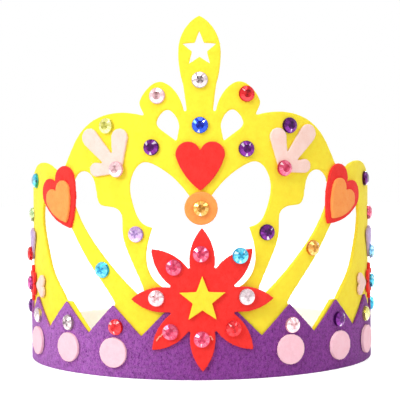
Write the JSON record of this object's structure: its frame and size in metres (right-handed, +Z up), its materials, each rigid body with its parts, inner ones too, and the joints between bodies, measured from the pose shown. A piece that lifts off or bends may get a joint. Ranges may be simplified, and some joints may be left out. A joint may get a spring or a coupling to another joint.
{
  "type": "felt play crown",
  "caption": "Child's felt crown: a tall yellow openwork front with spire and round lobes, a purple zigzag band, a back strap, felt flower, hearts, sprays and discs, and flat-backed round gems.",
  "frame": {"origin": "below the middle of the crown's box, in the plane that the rim stands on", "axes": "+Z up towards the spire, -Y towards the front, +X to the right of someone who looks at the front"},
  "size_m": [0.1972, 0.1656, 0.1781],
  "materials": {
    "yellow_felt": "stiff felt with soft cut edges",
    "purple_felt": "heathered felt",
    "red_felt": "felt with soft cut edges",
    "pink_felt": "felt with soft cut edges",
    "orange_felt": "felt with soft cut edges",
    "lilac_felt": "felt with soft cut edges",
    "gem_clear": "faceted acrylic with a foil back",
    "gem_blue": "faceted acrylic with a foil back",
    "gem_rose": "faceted acrylic with a foil back",
    "gem_pink": "faceted acrylic with a foil back",
    "gem_red": "faceted acrylic with a foil back",
    "gem_purple": "faceted acrylic with a foil back",
    "gem_lilac": "faceted acrylic with a foil back",
    "gem_cyan": "faceted acrylic with a foil back",
    "gem_sky": "faceted acrylic with a foil back",
    "gem_orange": "faceted acrylic with a foil back",
    "gem_yellow": "faceted acrylic with a foil back",
    "gem_green": "faceted acrylic with a foil back",
    "gem_magenta": "faceted acrylic with a foil back"
  },
  "bodies": {
    "root": {"yellow_lattice": "yellow_felt", "purple_band": "purple_felt", "back_strap": "pink_felt", "front_flower": "red_felt", "flower_star": "yellow_felt", "centre_heart": "red_felt", "orange_disc": "orange_felt", "side_heart_left": "red_felt", "inner_heart_left": "orange_felt", "spray_left": "pink_felt", "lilac_spray_left": "lilac_felt", "side_spray_left": "pink_felt", "side_flower_left": "red_felt", "band_disc_left_1": "pink_felt", "band_disc_left_2": "pink_felt", "band_disc_left_3": "pink_felt", "side_heart_right": "red_felt", "inner_heart_right": "orange_felt", "spray_right": "pink_felt", "lilac_spray_right": "lilac_felt", "side_spray_right": "pink_felt", "side_flower_right": "red_felt", "band_disc_right_1": "pink_felt", "band_disc_right_2": "pink_felt", "band_disc_right_3": "pink_felt", "gems_clear": "gem_clear", "gems_blue": "gem_blue", "gems_rose": "gem_rose", "gems_pink": "gem_pink", "gems_red": "gem_red", "gems_purple": "gem_purple", "gems_lilac": "gem_lilac", "gems_cyan": "gem_cyan", "gems_sky": "gem_sky", "gems_orange": "gem_orange", "gems_yellow": "gem_yellow", "gems_green": "gem_green", "gems_magenta": "gem_magenta"}
  },
  "joints": []
}
